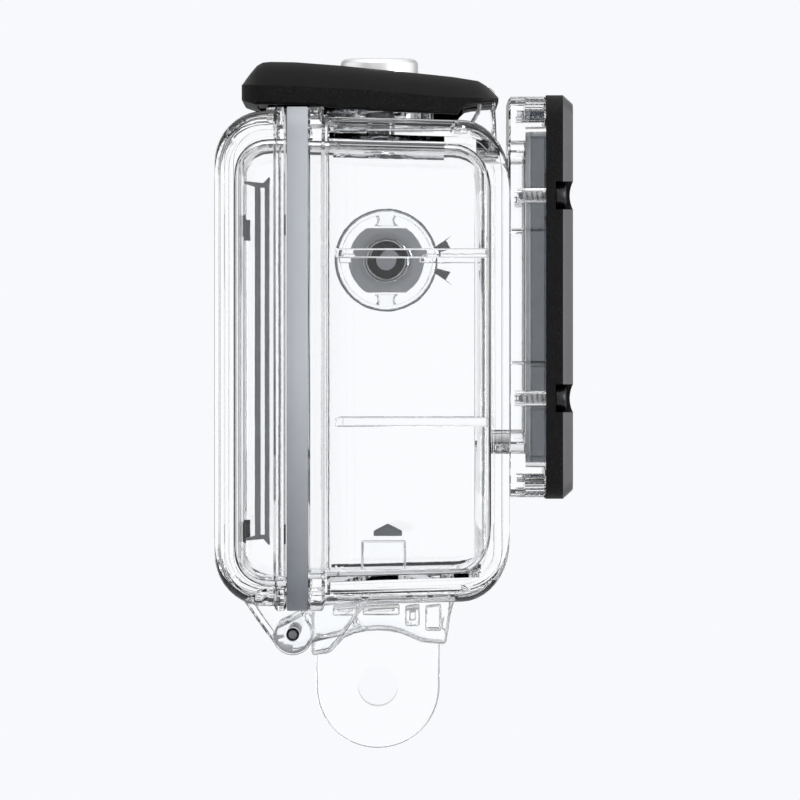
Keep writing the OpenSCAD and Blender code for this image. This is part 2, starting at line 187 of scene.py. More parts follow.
def rubber(name, tone, rough=0.6):
    """Dull rubber, a little mottled."""
    s = Shader(name).set(Specular_IOR_Level=0.3)
    paler = tuple(min(1.0, c * 1.35 + 0.004) for c in tone)
    s.link(s.blend(s.noise(1.6), tone, paler), "Base Color")
    s.link(s.ramp(s.noise(0.8), rough - 0.08, rough + 0.1), "Roughness")
    s.link(s.bump(s.noise(0.25), 0.015), "Normal")
    return s.mat


def metal(name, tone, rough, brush):
    """Turned or drawn metal; brush stretches the marks along X, Y and Z."""
    s = Shader(name).set(Metallic=1.0)
    marks = s.noise(0.25, 4.0, 0.6, stretch=brush)
    paler = tuple(min(1.0, c * 1.08) for c in tone)
    s.link(s.blend(marks, tone, paler), "Base Color")
    s.link(s.ramp(marks, rough * 0.7, rough * 1.4), "Roughness")
    s.link(s.bump(marks, 0.003), "Normal")
    return s.mat


CLEAR = clear_plastic("clear_polycarbonate", (0.985, 0.992, 1.0))
CLEAR_THIN = clear_plastic("clear_insert", (0.97, 0.98, 0.99))
GLASS = lens_glass()
# Seal and gasket: the darker lower tone is painted shade, the paler upper tone painted light.
SHADED_SILICONE = silicone("frosted_silicone_painted_shade", (0.56, 0.59, 0.63), (0.20, 0.22, 0.25), 12, 40, 0.3)
SHADED_GASKET = silicone("gasket_silicone_painted_shade", (0.86, 0.88, 0.9), (0.75, 0.78, 0.8), 27, 70, 0.6)
CUSHION = silicone("cushion_silicone", (0.21, 0.22, 0.235), (0.21, 0.22, 0.235), 10, 70, 0.1)
BLACK_TOP = moulded_black("black_satin", 0.40, 0.12, 0.004, 0.06)
BLACK_GRAIN = moulded_black("black_grained", 0.45, 0.16, 0.03)
# Polished black for the frame's front facet; its paler base colour is a painted highlight.
BLACK_EDGE_PAINTED_HIGHLIGHT = moulded_black("black_polished_painted_highlight", 0.30, 0.12, 0.002, 1.0)
DARK = rubber("dark_bushing", (0.045, 0.048, 0.052), 0.4)
GREY_RUBBER = rubber("grey_rubber", (0.16, 0.175, 0.19))
BLACK_RUBBER = rubber("black_rubber", (0.004, 0.004, 0.0045))
SILVER = metal("polished_aluminium", (0.96, 0.965, 0.97), 0.34, (1, 1, 30))
GREY_METAL = metal("grey_aluminium", (0.30, 0.31, 0.33), 0.35, (1, 8, 8))
STEEL = metal("stainless_steel", (0.62, 0.63, 0.64), 0.22, (0.2, 6, 6))
# Near-white metal for the screw threads: a painted reflection.
THREAD_PAINTED_REFLECTION = metal("bright_thread_painted_reflection", (0.93, 0.935, 0.94), 0.4, (6, 1, 6))
BLACK_STEEL = metal("black_oxide", (0.05, 0.05, 0.053), 0.3, (4, 1, 4))


# ---------------------------------------------------------------- mesh helpers


def finish_piece(obj, body, material, cad_nodes=(), sharp_deg=32):
    """Gives a new piece its material, its shading, its body and the CAD nodes it stands for."""
    obj.data.materials.clear()
    obj.data.materials.append(material)
    for p in obj.data.polygons:
        p.use_smooth = True
    obj.data.set_sharp_from_angle(angle=math.radians(sharp_deg))
    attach(obj, body)
    if cad_nodes:
        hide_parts(*cad_nodes)
    return obj


def flat_walls(obj, least_mm2=3.0):
    """Flat shading on the broad faces that lie square to an axis, so they bend no light."""
    for p in obj.data.polygons:
        if max(abs(c) for c in p.normal) > 0.9995 and p.area > least_mm2 * MM * MM:
            p.use_smooth = False
    return obj


def new_object(name, bm):
    """Object of a finished bmesh, its faces turned outwards."""
    bmesh.ops.recalc_face_normals(bm, faces=bm.faces)
    mesh = bpy.data.meshes.new(name)
    bm.to_mesh(mesh)
    bm.free()
    obj = bpy.data.objects.new(name, mesh)
    SCENE.collection.objects.link(obj)
    return obj


def loft(name, loops, closed=False):
    """Closed skin over loops of equal length, given in millimetres. closed joins last to first."""
    bm = bmesh.new()
    rings = [[bm.verts.new(Vector(p) * MM) for p in loop] for loop in loops]
    count = len(rings[0])
    pairs = list(zip(rings, rings[1:]))
    if closed:
        pairs.append((rings[-1], rings[0]))
    for a, b in pairs:
        for i in range(count):
            j = (i + 1) % count
            bm.faces.new((a[i], a[j], b[j], b[i]))
    if not closed:
        bm.faces.new(rings[0])
        bm.faces.new(reversed(rings[-1]))
    return new_object(name, bm)


def box_loop(x0, x1, z0, z1, r, y, turns=10):
    """Rounded rectangle in the X-Z plane at depth y."""
    points = []
    left, right, low, high = x0 + r, x1 - r, z0 + r, z1 - r
    for cx, cz, start in ((right, high, 0), (left, high, 90), (left, low, 180), (right, low, 270)):
        for i in range(turns + 1):
            a = math.radians(start + 90 * i / turns)
            points.append((cx + r * math.cos(a), y, cz + r * math.sin(a)))
    return points


def prism(name, outline, x0, x1):
    """Side outline in (y, z), drawn out along X."""
    return loft(name, [[(x, y, z) for y, z in outline] for x in (x0, x1)])


def spun(r, h, k, steps, axis, centre):
    """Point at radius r and height h, k of steps round an axis through centre."""
    a = 2 * math.pi * k / steps
    u, v = r * math.cos(a), r * math.sin(a)
    return Vector({"Z": (u, v, h), "X": (h, u, v), "Y": (v, h, u)}[axis]) + Vector(centre)


def turned(name, profile, centre, axis="Z", steps=48):
    """Profile of (radius, height) points turned about an axis through centre."""
    loops = [[spun(r, h, k, steps, axis, centre) for r, h in profile] for k in range(steps)]
    return loft(name, loops, closed=True)


def rod(name, centre, radius, span, axis, steps=48):
    """Plain cylinder between two heights on one axis, as a tool or a small piece."""
    return loft(name, [[spun(radius, h, k, steps, axis, centre) for k in range(steps)] for h in span])


def round_edges(obj, width, segments, angle, harden):
    """Bevel modifier on the edges that turn by more than an angle."""
    mod = obj.modifiers.new("round", "BEVEL")
    mod.width = width * MM
    mod.segments = segments
    mod.limit_method = "ANGLE"
    mod.angle_limit = math.radians(angle)
    mod.harden_normals = harden


def bevelled(obj, width, segments=3, angle=30):
    """Rounds the edges of a new piece for good."""
    round_edges(obj, width, segments, angle, False)
    return baked(obj)


def baked(obj):
    """Applies an object's modifiers."""
    deps = bpy.context.evaluated_depsgraph_get()
    mesh = bpy.data.meshes.new_from_object(obj.evaluated_get(deps))
    obj.modifiers.clear()
    obj.data = mesh
    return obj


def joined(obj, tools, operation):
    """Boolean of obj with each tool in turn; the tools are used up."""
    for tool in tools:
        mod = obj.modifiers.new("cut", "BOOLEAN")
        mod.operation = operation
        mod.solver = "EXACT"
        mod.object = tool
        baked(obj)
        bpy.data.objects.remove(tool)
    return obj


def arc(cx, cz, r, a0, a1, steps):
    """Points of an arc from a0 to a1 degrees."""
    angles = [math.radians(a0 + (a1 - a0) * i / steps) for i in range(steps + 1)]
    return [(cx + r * math.cos(a), cz + r * math.sin(a)) for a in angles]


def follow(points, t):
    """Height on a polyline of (t, height) points in falling order of t."""
    for (t0, h0), (t1, h1) in zip(points, points[1:]):
        if t0 >= t >= t1:
            return h0 + (h1 - h0) * (t0 - t) / (t0 - t1) if t0 != t1 else h0
    return points[0][1] if t > points[0][0] else points[-1][1]


def keep(node, material, width):
    """A CAD node that stays, with a better material and, given a width, rounded edges."""
    obj = NODES[node]
    obj.data.materials.clear()
    obj.data.materials.append(material)
    if width:
        round_edges(obj, width, 2, 40, True)


# ---------------------------------------------------------------- clear shell

FLANGE = 40.7
FLANGE_LOW, FLANGE_HIGH = 9.8, 71.7
SHELL_REAR, SHELL_FRONT = 8.5, -16.2
SHELL_HALF, DOOR_HALF = 39.0, 39.6
DOOR_REAR = 20.0
PORT_X, PORT_Z = 12.0, 48.5
CEILING, DECK = 67.5, 68.8
SIDE_Y, SIDE_Z = -0.8, 53.5
SHUTTER = (-17, -0.2, 0)
HINGE = (10.46, 6.8)
LATCH = (-13.5, 73.3)
# Half width, floor, top, edge radius and draft of the shell's skin
SKIN = (SHELL_HALF, 10.4, 70.6, 2.6, 0.7)
# Open end, closed end, floors and tops at those ends, and end radius of the side faces
SHELL_SHAPE = (6.42, SHELL_FRONT, (10.45, 11.1), (70.55, 69.9), 6.0)
DOOR_SHAPE = (12.78, DOOR_REAR, (10.4, 10.4), (71.2, 71.2), 6.3)
QUARTER = [math.radians(7.5 * i) for i in range(13)]


def corner(depth, r):
    """Inset of a quarter-round corner at a depth below its face."""
    return r - math.sqrt(max(0.0, r * r - (r - depth) ** 2)) if depth < r else 0.0


def shell_loop(y, inset, half, low, high, r, draft, side_inset=None):
    """Section of a tray at depth y, shrunk by inset, its top and floor closing in with draft."""
    fall = draft * (SHELL_REAR - y) / (SHELL_REAR - SHELL_FRONT)
    side = half - 0.6 * fall - (inset if side_inset is None else side_inset)
    return box_loop(-side, side, low + fall + inset, high - fall - inset, r, y)


def rounded_end(y_end, ry, rz, steps, direction):
    """(y, inset) pairs of an elliptic corner that closes a tray; direction is the sign of y_end."""
    return [
        (y_end - direction * ry * (1 - math.sin(math.radians(90 * i / steps))),
         rz * (1 - math.cos(math.radians(90 * i / steps))))
        for i in range(steps + 1)
    ]


def side_contour(d, y_open, y_end, low, high, r):
    """Side outline in (y, z), set in by d, open at y_open and rounded at y_end."""
    turn = math.copysign(1, y_end - y_open)
    mid, left = y_end - turn * r, r - d
    points = [(y_open, low[0] + d), (y_open, high[0] - d)]
    points += [(mid + turn * left * math.sin(a), high[1] - r + left * math.cos(a)) for a in QUARTER]
    points += [(mid + turn * left * math.cos(a), low[1] + r - left * math.sin(a)) for a in QUARTER]
    return points


def border_cut(side, d, depth, face, shape):
    """Ring that lowers the rim of one side face, so a ledge follows the outline at distance d."""
    y_open, rest = shape[0], shape[1:]
    nudge = 0.03 if rest[0] > y_open else -0.03
    inner = side_contour(d, y_open + nudge, *rest)
    brim = side_contour(d - 0.16, y_open + 0.7 * nudge, *rest)
    wide = side_contour(-1.5, y_open, *rest)
    loops = []
    for contour, level in ((inner, -depth), (brim, 0.3), (wide, 0.3), (wide, -depth)):
        loops.append([(side * (face(y) + level), y, z) for y, z in contour])
    return loft("border", loops, closed=True)


def shell_face(y):
    """Half width of the drafted shell at depth y."""
    return SHELL_HALF - 0.42 * (SHELL_REAR - y) / (SHELL_REAR - SHELL_FRONT)


def door_face(_y):
    """Half width of the door, the same at every depth."""
    return DOOR_HALF


def ledges(obj, face, shape, steps):
    """Concentric ledges on both side faces; steps are (distance from the edge, depth)."""
    for side in (-1, 1):
        joined(obj, [border_cut(side, d, depth, face, shape) for d, depth in steps], "DIFFERENCE")
    return obj


def flange(steps):
    """Sections of the wide rims that press on the seal; steps are (y, inset)."""
    loops = []
    for y, d in steps:
        half, low, high = FLANGE - d, FLANGE_LOW + d, FLANGE_HIGH - d
        loops.append(box_loop(-half, half, low, high, 3.4, y))
    return loops


def front_shell():
    """Skin of the front shell, from the cavity's front wall out over the flange to the face."""
    cavity = (36.7, 13.7, CEILING, 1.4, 0.5)
    inner = rounded_end(-13.9, 4.6, 5.4, 8, -1)
    loops = []
    for y, d in reversed(inner):
        loops.append(shell_loop(y, d, *cavity, side_inset=corner(abs(-13.9 - y), 1.6)))
    loops.append(shell_loop(8.3, 0, *cavity))
    loops.append(shell_loop(8.5, -0.2, *cavity))
    loops += flange([(8.5, 0.25), (8.25, 0.0), (6.85, 0.0), (6.6, 0.25)])
    loops.append(shell_loop(6.6, -0.15, *SKIN))
    loops.append(shell_loop(6.45, 0, *SKIN))
    outer = rounded_end(SHELL_FRONT, 5.8, 7.2, 10, -1)
    for y, d in outer:
        loops.append(shell_loop(y, d, *SKIN, side_inset=corner(abs(SHELL_FRONT - y), 0.9)))
    return loft("clear_front_shell", loops)


def port_square(half, r, y, turns=8):
    """Rounded square round the port's axis at depth y."""
    return box_loop(PORT_X - half, PORT_X + half, PORT_Z - half, PORT_Z + half, r, y, turns)


def mount_foot():
    """Neck with its moulded cells, and the two fingers round the mount's bore."""
    neck = [(8.25, 12.4), (8.25, 3.9), (5.9, 4.25)]
    neck += [(4.2, 6.1), (2.9, 6.65), (1.5, 6.95), (0, 7.05), (-1.5, 6.95), (-2.9, 6.65)]
    neck += [(-4.25, 6.1), (-5.4, 5.6), (-8.45, 5.3), (-8.75, 7.0), (-9.0, 8.8), (-9.35, 10.2)]
    neck += [(-10.2, 11.6), (-10.4, 12.4)]
    foot = bevelled(prism("clear_foot", neck, -12.5, 12.5), 0.5, 4)
    origin = (0, 0, 0)
    swings = ((8.0, 8.2), (8.55, 6.0))
    tools = [rod("swing", origin, radius, (-half, half), "X", 64) for radius, half in swings]
    joined(foot, tools, "DIFFERENCE")
    cells = ((5.6, 2.6, 8.9), (1.9, -2.7, 8.95), (-3.4, -5.2, 7.6), (-5.9, -7.9, 7.0))
    for side in (-1, 1):
        x0, x1 = sorted((side * 8.6, side * 13))
        for rear, front, low in cells:
            cell = [(rear, low), (rear, 10.0), (front, 10.2), (front, low)]
            joined(foot, [bevelled(prism("cell", cell, x0, x1), 0.25)], "DIFFERENCE")
    for x0 in (-4.55, 1.55):
        outline = [(7.7, 9.0)] + arc(0, 0, 7.7, 0, -180, 32) + [(-7.7, 9.0)]
        finger = bevelled(prism("finger", outline, x0, x0 + 3.0), 0.3, angle=50)
        joined(foot, [finger], "UNION")
    return joined(foot, [rod("bore", origin, 2.5, (-6, 6), "X", 64)], "DIFFERENCE")


def hinge_lug(x0, x1):
    """Ear of the shell round the hinge pin."""
    y, z = HINGE
    outline = arc(y, z, 2.55, 205, 360, 14) + [(y + 1.9, z + 1.2), (8.45, 9.9), (8.45, 11.2)]
    outline += [(0.6, 11.6), (4.3, 6.6)]
    return bevelled(prism("lug", outline, x0, x1), 0.5, 4, angle=50)


def latch_lug(x0, x1):
    """Ear on the shell's top round the latch pin."""
    outline = arc(*LATCH, 1.05, -20, 200, 14) + [(-14.75, 67.2), (-10.6, 68.6), (-12.3, 71.6)]
    return bevelled(prism("lug", outline, x0, x1), 0.45, 4, angle=50)


def groove(side, z, tall, y0, y1):
    """Wedge that cuts a shallow V along one side face, its height sloping with the draft."""
    loops = []
    for y in (y0, (y0 + y1) / 2, y1):
        lift = 0.028 * (y0 - y) * (1 if z < 40 else -1)
        middle, face = z + lift, shell_face(y)
        out = side * (face + 0.3)
        mouth = [(out, y, middle - tall * 0.7), (out, y, middle + tall * 0.7)]
        loops.append(mouth + [(side * (face - tall), y, middle)])
    return loft("groove", loops)


def guide_ribs():
    """Two ribs inside each side wall; one is broken by the side button."""
    whole, broken = [(5.2, -13.6)], [(5.2, 3.6), (-5.0, -13.6)]
    ribs = []
    for side, z, spans in ((-1, 53.7, whole), (-1, 33.0, whole), (1, 53.7, broken), (1, 33.0, whole)):
        x0, x1 = sorted((side * 35.5, side * 37.4))
        for y0, y1 in spans:
            outline = [(y0, z - 0.6), (y0, z + 0.6), (y1, z + 0.6), (y1, z - 0.6)]
            ribs.append(bevelled(prism("rib", outline, x0, x1), 0.2))
    return ribs


def shell_fittings():
    """Everything that is moulded onto the front shell."""
    profile = [(5.1, 68.3), (5.1, 71.4), (5.35, 71.6), (6.45, 71.6), (6.7, 71.35), (6.7, 68.3)]
    post = [(2.2, 13.2), (2.2, 18.2), (-3.4, 18.2), (-3.4, 13.2)]
    parts = [turned("collar", profile, SHUTTER, steps=64)]
    parts.append(bevelled(prism("post", post, -2.8, 2.8), 0.3))
    parts.append(mount_foot())
    parts += [hinge_lug(*span) for span in ((-24.7, -19.4), (19.4, 24.7))]
    parts += [latch_lug(*span) for span in ((-21.8, -17.2), (-2.8, 2.8), (4.2, 8.8))]
    return parts + guide_ribs()


def clear_housing():
    """Front shell with its fittings, ledges, grooves and bores."""
    shell = front_shell()
    opening = loft("opening", [port_square(19.5, 3.0, y, 10) for y in (-20, -12)])
    pocket = prism("pocket", [(5.6, DECK), (5.6, 73), (-9.3, 73), (-9.3, DECK)], -27, 27)
    joined(shell, [opening, bevelled(pocket, 0.5)], "DIFFERENCE")
    joined(shell, shell_fittings(), "UNION")
    ledges(shell, shell_face, SHELL_SHAPE, ((2.9, 0.15), (2.0, 0.35), (1.0, 0.6)))
    for side in (-1, 1):
        for z, tall, y0, y1 in ((67.75, 1.5, 5.9, -8.2), (13.95, 1.1, 6.2, -12.5)):
            joined(shell, [groove(side, z, tall, y0, y1)], "DIFFERENCE")
    cuts = [
        rod("hole", SHUTTER, 1.76, (60, 80), "Z"),
        rod("hole", (0, SIDE_Y, SIDE_Z), 2.21, (30, 45), "X"),
        rod("spring_seat", (0, SIDE_Y, SIDE_Z), 3.1, (37.4, 45), "X"),
        rod("hole", (0, *HINGE), 0.82, (-26, 26), "X", 32),
        rod("hole", (0, *LATCH), 0.62, (-30, 30), "X", 32),
    ]
    joined(shell, cuts, "DIFFERENCE")
    finish_piece(shell, "housing", CLEAR, ("main_housing", "mount_foot"))
    return flat_walls(shell)


# ---------------------------------------------------------------- lens port


def square_ring(name, steps):
    """Ring of rounded squares round the port's axis; steps are (half, corner radius, y)."""
    return loft(name, [port_square(*step) for step in steps], closed=True)


SCREW_FAR, SCREW_NEAR = 23.0, 12.6


def screw_places():
    """(x, z) of the eight screws, two along each side of the port."""
    for s in (-1, 1):
        for t in (-1, 1):
            yield PORT_X + s * SCREW_FAR, PORT_Z + t * SCREW_NEAR
            yield PORT_X + t * SCREW_NEAR, PORT_Z + s * SCREW_FAR


def clear_port():
    """Block that carries the glass, with a fine line across its side faces."""
    port = square_ring("clear_port", [
        (24.65, 2.4, -16.25), (24.9, 2.5, -16.5), (24.9, 2.5, -20.65), (24.7, 2.4, -20.88),
        (21.2, 1.5, -20.88), (21.16, 1.5, -18.35), (19.6, 3.0, -18.3), (19.5, 3.0, -18.2),
        (19.5, 3.0, -16.4), (19.65, 3.1, -16.25),
    ])
    holes = [rod("hole", (x, 0, z), 0.98, (-21.5, -17.3), "Y", 24) for x, z in screw_places()]
    joined(port, holes, "DIFFERENCE")
    for side in (-1, 1):
        face = PORT_X + side * 24.9
        for z in (40.35, 56.85):
            out, deep = face + side * 0.3, face - side * 0.3
            line = [[(out, y, z - 0.35), (out, y, z + 0.35), (deep, y, z)] for y in (-16.6, -21.2)]
            joined(port, [loft("line", line)], "DIFFERENCE")
    return flat_walls(finish_piece(port, "housing", CLEAR, ("lens_port",)))


def port_window():
    """Glass plate of the port, its rim chamfered."""
    steps = ((20.85, -20.86), (21.05, -20.7), (21.05, -19.1), (20.85, -18.94))
    loops = [port_square(half, 1.4, y) for half, y in steps]
    return finish_piece(loft("window_glass", loops), "housing", GLASS, ("port_glass",))


def port_seal():
    """Thin gasket behind the port's glass."""
    ring = square_ring("window_gasket", [
        (21.0, 1.4, -18.9), (21.0, 1.4, -18.35), (19.6, 3.0, -18.35), (19.6, 3.0, -18.9),
    ])
    return finish_piece(ring, "housing", SHADED_GASKET, ("port_gasket",))


FRAME_BACK, FRAME_FRONT, FRAME_HALF = -20.9, -24.25, 25.1
NOTCH_HALF = 1.75


def screw_seat(x, z):
    """Cutters for one screw: its seat, its bore and the notch out to the frame's edge."""
    front, back = FRAME_FRONT - 1, FRAME_BACK - 1.2
    cuts = [rod("seat", (x, 0, z), NOTCH_HALF, (front, back), "Y")]
    cuts.append(rod("seat", (x, 0, z), 1.02, (front, FRAME_BACK + 1), "Y", 24))
    if abs(x - PORT_X) > abs(z - PORT_Z):
        x0, x1 = sorted((x, PORT_X + math.copysign(FRAME_HALF + 1, x - PORT_X)))
        z0, z1 = z - NOTCH_HALF, z + NOTCH_HALF
    else:
        x0, x1 = x - NOTCH_HALF, x + NOTCH_HALF
        z0, z1 = sorted((z, PORT_Z + math.copysign(FRAME_HALF + 1, z - PORT_Z)))
    cuts.append(prism("notch", [(front, z0), (front, z1), (back, z1), (back, z0)], x0, x1))
    return cuts


def black_frame():
    """Grained frame with screw seats, side scallops and a polished facet whose paler colour is a painted
    highlight.
    """
    back, front, half = FRAME_BACK, FRAME_FRONT, FRAME_HALF
    ring = square_ring("black_frame", [
        (half, 3.0, back), (half, 3.0, front + 1.25), (half - 0.12, 2.95, front + 1.1),
        (half - 1.05, 2.4, front + 0.08), (half - 1.2, 2.3, front), (19.2, 4.3, front),
        (18.95, 4.1, front + 0.08), (18.5, 4.0, front + 0.7), (18.5, 4.0, back),
    ])
    cuts = []
    for x, z in screw_places():
        cuts += screw_seat(x, z)
    for z in (PORT_Z - SCREW_NEAR, PORT_Z + SCREW_NEAR):
        for x0, x1 in ((PORT_X - 26, PORT_X - 17.5), (PORT_X + 17.5, PORT_X + 26)):
            cuts.append(rod("scallop", (0, front - 3.7, z), 4.08, (x0, x1), "X", 96))
    joined(ring, cuts, "DIFFERENCE")
    finish_piece(ring, "housing", BLACK_GRAIN, ("lens_frame",), 25)
    # The front chamfer faces take the polished black: real gloss, with a painted highlight in its paler
    # colour.
    ring.data.materials.append(BLACK_EDGE_PAINTED_HIGHLIGHT)
    for p in ring.data.polygons:
        p.material_index = int(0.3 < -p.normal.y < 0.95 and p.center.y / MM < front + 1.3)
    return ring


SCREW_HEAD, SCREW_SEAT, SCREW_TIP = -23.4, -22.15, -17.5
SCREW_PITCH = 0.66
SCREW_STEPS = 36


def screw_ring(x, z, y, radius_at):
    """Ring of points round a screw's axis; radius_at takes the part of a turn."""
    loop = []
    for k in range(SCREW_STEPS):
        part = k / SCREW_STEPS
        r, a = radius_at(part), 2 * math.pi * part
        loop.append((x + r * math.cos(a), y, z + r * math.sin(a)))
    return loop


def hexagon(part):
    """Radius of the screw's socket."""
    a = 2 * math.pi * part % (math.pi / 3)
    return 0.85 * math.cos(math.pi / 6) / math.cos(a - math.pi / 6)


def thread(y):
    """Radius of the cut thread at depth y, as a function of the part of a turn."""
    def radius(part):
        phase = ((y - SCREW_SEAT) / SCREW_PITCH + part) % 1.0
        return 0.64 + 0.32 * max(0.0, 1 - abs(phase - 0.5) * 2.4)
    return radius


def screw_loops(x, z):
    """Sections of a socket screw from the socket's floor to the tip of the thread."""
    head, seat, tip = SCREW_HEAD, SCREW_SEAT, SCREW_TIP
    loops = [screw_ring(x, z, y, hexagon) for y in (head + 0.75, head + 0.02)]
    for r, y in ((1.3, head), (1.5, head + 0.06), (1.6, head + 0.2), (1.6, seat - 0.05), (1.5, seat)):
        loops.append(screw_ring(x, z, y, lambda _part, r=r: r))
    y = seat
    while y < tip - 0.3:
        loops.append(screw_ring(x, z, y, thread(y)))
        y += SCREW_PITCH / 7
    for r, y in ((0.5, tip - 0.1), (0.3, tip)):
        loops.append(screw_ring(x, z, y, lambda _part, r=r: r))
    return loops


def screw(index, x, z):
    """Screw with a black head towards -Y; the bright ridges on its thread are a painted reflection and the
    grey valleys painted shade.
    """
    obj = loft(f"frame_screw_{index}", screw_loops(x, z))
    finish_piece(obj, "housing", BLACK_STEEL, ("frame_screws",), 40)
    obj.data.materials.append(THREAD_PAINTED_REFLECTION)
    obj.data.materials.append(GREY_METAL)
    # Thread ridges take the near-white metal, a painted reflection; valleys take grey metal, painted shade.
    for p in obj.data.polygons:
        reach = math.hypot(p.center.x / MM - x, p.center.z / MM - z)
        if p.center.y / MM > SCREW_SEAT + 0.05:
            p.material_index = 1 if reach > 0.72 else 2
    return obj


# ---------------------------------------------------------------- rear door


def door_tray():
    """Skin of the door, from the inside of its rear wall out over the flange to the face."""
    def section(y, inset, half, low, high, r, side_inset=None):
        side = half - (inset if side_inset is None else side_inset)
        return box_loop(-side, side, low + inset, high - inset, r, y)

    tray, outside = (37.2, 12.9, 67.7, 1.4), (DOOR_HALF, 10.4, 71.2, 2.6)
    inner = rounded_end(17.6, 4.2, 4.2, 8, 1)
    loops = []
    for y, d in reversed(inner):
        loops.append(section(y, d, *tray, side_inset=corner(abs(17.6 - y), 1.2)))
    loops.append(section(11.4, 0, *tray))
    loops.append(section(11.25, -0.15, *tray))
    loops += flange([(11.25, 0.25), (11.5, 0.0), (12.35, 0.0), (12.6, 0.25)])
    loops.append(section(12.6, -0.15, *outside))
    loops.append(section(12.75, 0, *outside))
    outer = rounded_end(DOOR_REAR, 6.2, 6.4, 10, 1)
    for y, d in outer:
        loops.append(section(y, d, *outside, side_inset=corner(DOOR_REAR - y, 0.8)))
    return loft("clear_rear_door", loops)


def clear_door():
    """Door with its hinge arms, the lip the latch holds, and ledges round its side faces."""
    door = door_tray()
    y, z = HINGE
    arm = arc(y, z, 2.55, 150, 335, 16) + [(14.6, 8.2), (16.6, 11.1), (17.4, 13.0), (11.4, 13.0)]
    parts = [bevelled(prism("arm", arm, *span), 0.3, angle=50) for span in ((-30, -25), (25, 30))]
    lip = [(11.45, 70.2), (13.8, 70.2), (13.8, 71.8), (13.4, 71.93), (11.9, 71.93), (11.45, 71.6)]
    parts.append(bevelled(prism("lip", lip, -20, 20), 0.15))
    joined(door, parts, "UNION")
    joined(door, [rod("hole", (0, *HINGE), 0.86, (-31, 31), "X", 32)], "DIFFERENCE")
    ledges(door, door_face, DOOR_SHAPE, ((2.4, 0.15), (1.25, 0.35), (0.75, 0.55)))
    return flat_walls(finish_piece(door, "door", CLEAR, ("rear_door",)))


def seal():
    """Frosted ring between the flanges, with a shallow groove round its inside."""
    loops = []
    section = [(0.0, 8.52), (0.0, 11.15), (3.2, 11.15), (3.2, 10.6)]
    section += [(2.8, 10.3), (2.8, 9.3), (3.2, 9.0), (3.2, 8.52)]
    for d, y in section:
        half, low, high = FLANGE - 0.1 - d, FLANGE_LOW + 0.02 + d, FLANGE_HIGH - 0.02 - d
        loops.append(box_loop(-half, half, low, high, max(3.4 - d, 1.2), y))
    ring = bevelled(loft("silicone_seal", loops, closed=True), 0.18, 2)
    return finish_piece(ring, "door", SHADED_SILICONE, ("door_seal",))


def cushion():
    """Closed loop of two thin leaves with forked ends, held off the door's rear wall."""
    middle, half = 40.55, 24.8
    top = [(13.58, half - 2.9), (13.5, half - 1.9), (13.62, half - 1.85), (14.3, half - 2.6)]
    top += [(15.2, half - 2.5), (17.36, half - 2.3), (17.36, half - 2.42), (15.36, half - 3.0)]
    outline = [(y, middle + z) for y, z in top] + [(y, middle - z) for y, z in reversed(top)]
    strip = prism("door_strip", outline, -3.98, 3.98)
    slot_low, slot_high = middle - half + 3.1, middle + half - 3.1
    slot = [(14.12, slot_low), (14.12, slot_high), (14.69, slot_high), (14.69, slot_low)]
    joined(strip, [prism("slot", slot, -5, 5)], "DIFFERENCE")
    return finish_piece(bevelled(strip, 0.06, 2), "door", CUSHION, ("door_cushion",))


def floor_pad():
    """Small roof-shaped pad on the block that stands on the cavity floor."""
    outline = [(0.65, 18.72), (0.65, 19.35), (-1.1, 20.25), (-2.9, 19.35), (-2.9, 18.72)]
    pad = bevelled(prism("floor_pad_rubber", outline, -2.8, 2.8), 0.1, 2)
    return finish_piece(pad, "housing", GREY_RUBBER, ("floor_pad",))


# ---------------------------------------------------------------- latch

# Side outlines of the lid as (y, z): its top, the crease below the rounded brow, its lower edge
LID_TOP = [(16.78, 74.6), (16.3, 75.3), (15.6, 76.2), (14.9, 77.0), (14.2, 77.38), (13.2, 77.47)]
LID_TOP += [(10.2, 77.42), (4.5, 76.99), (-4.9, 76.06), (-9.3, 75.6)]
LID_TOP += [(-12.4, 75.1), (-13.4, 74.5), (-14.9, 73.1)]
LID_CREASE = [(16.78, 74.55), (10.7, 74.4), (1.0, 73.86), (-4.4, 73.4), (-9.5, 72.95), (-14.9, 72.85)]
LID_LOW = [(16.78, 72.7), (16.5, 72.56), (15.1, 72.12), (11.4, 72.1), (8.0, 72.0), (3.5, 71.55)]
LID_LOW += [(-2.9, 71.15), (-9.9, 70.92), (-10.3, 71.5), (-10.9, 72.05), (-11.8, 72.25), (-14.9, 72.42)]
LID_HALF = 29.0
LID_BETWEEN = {13.9, 6.5, 2.0, -1.0, -7.0, -14.3}


def lid_loop(y):
    """Section of the lid at depth y: upright sides, then a brow that rises to the top."""
    top, low = follow(LID_TOP, y), follow(LID_LOW, y)
    crease = min(follow(LID_CREASE, y), top - 0.05)
    half = LID_HALF
    if y > 13.8:
        half -= 3.0 - math.sqrt(max(0.0, 9.0 - (y - 13.8) ** 2))
    if y < -12.4:
        half -= 2.5 - math.sqrt(max(0.0, 6.25 - (y + 12.4) ** 2))
    right = [(half - 0.3, low), (half, low + 0.3)]
    steps = 7
    for i in range(steps + 1):
        t = i / steps
        rise = math.sin(math.radians(84 * t)) / math.sin(math.radians(84))
        right.append((half - 5.5 * t, crease + (top - crease) * rise))
    left = [(-x, z) for x, z in reversed(right)]
    return [(x, y, z) for x, z in right + left]


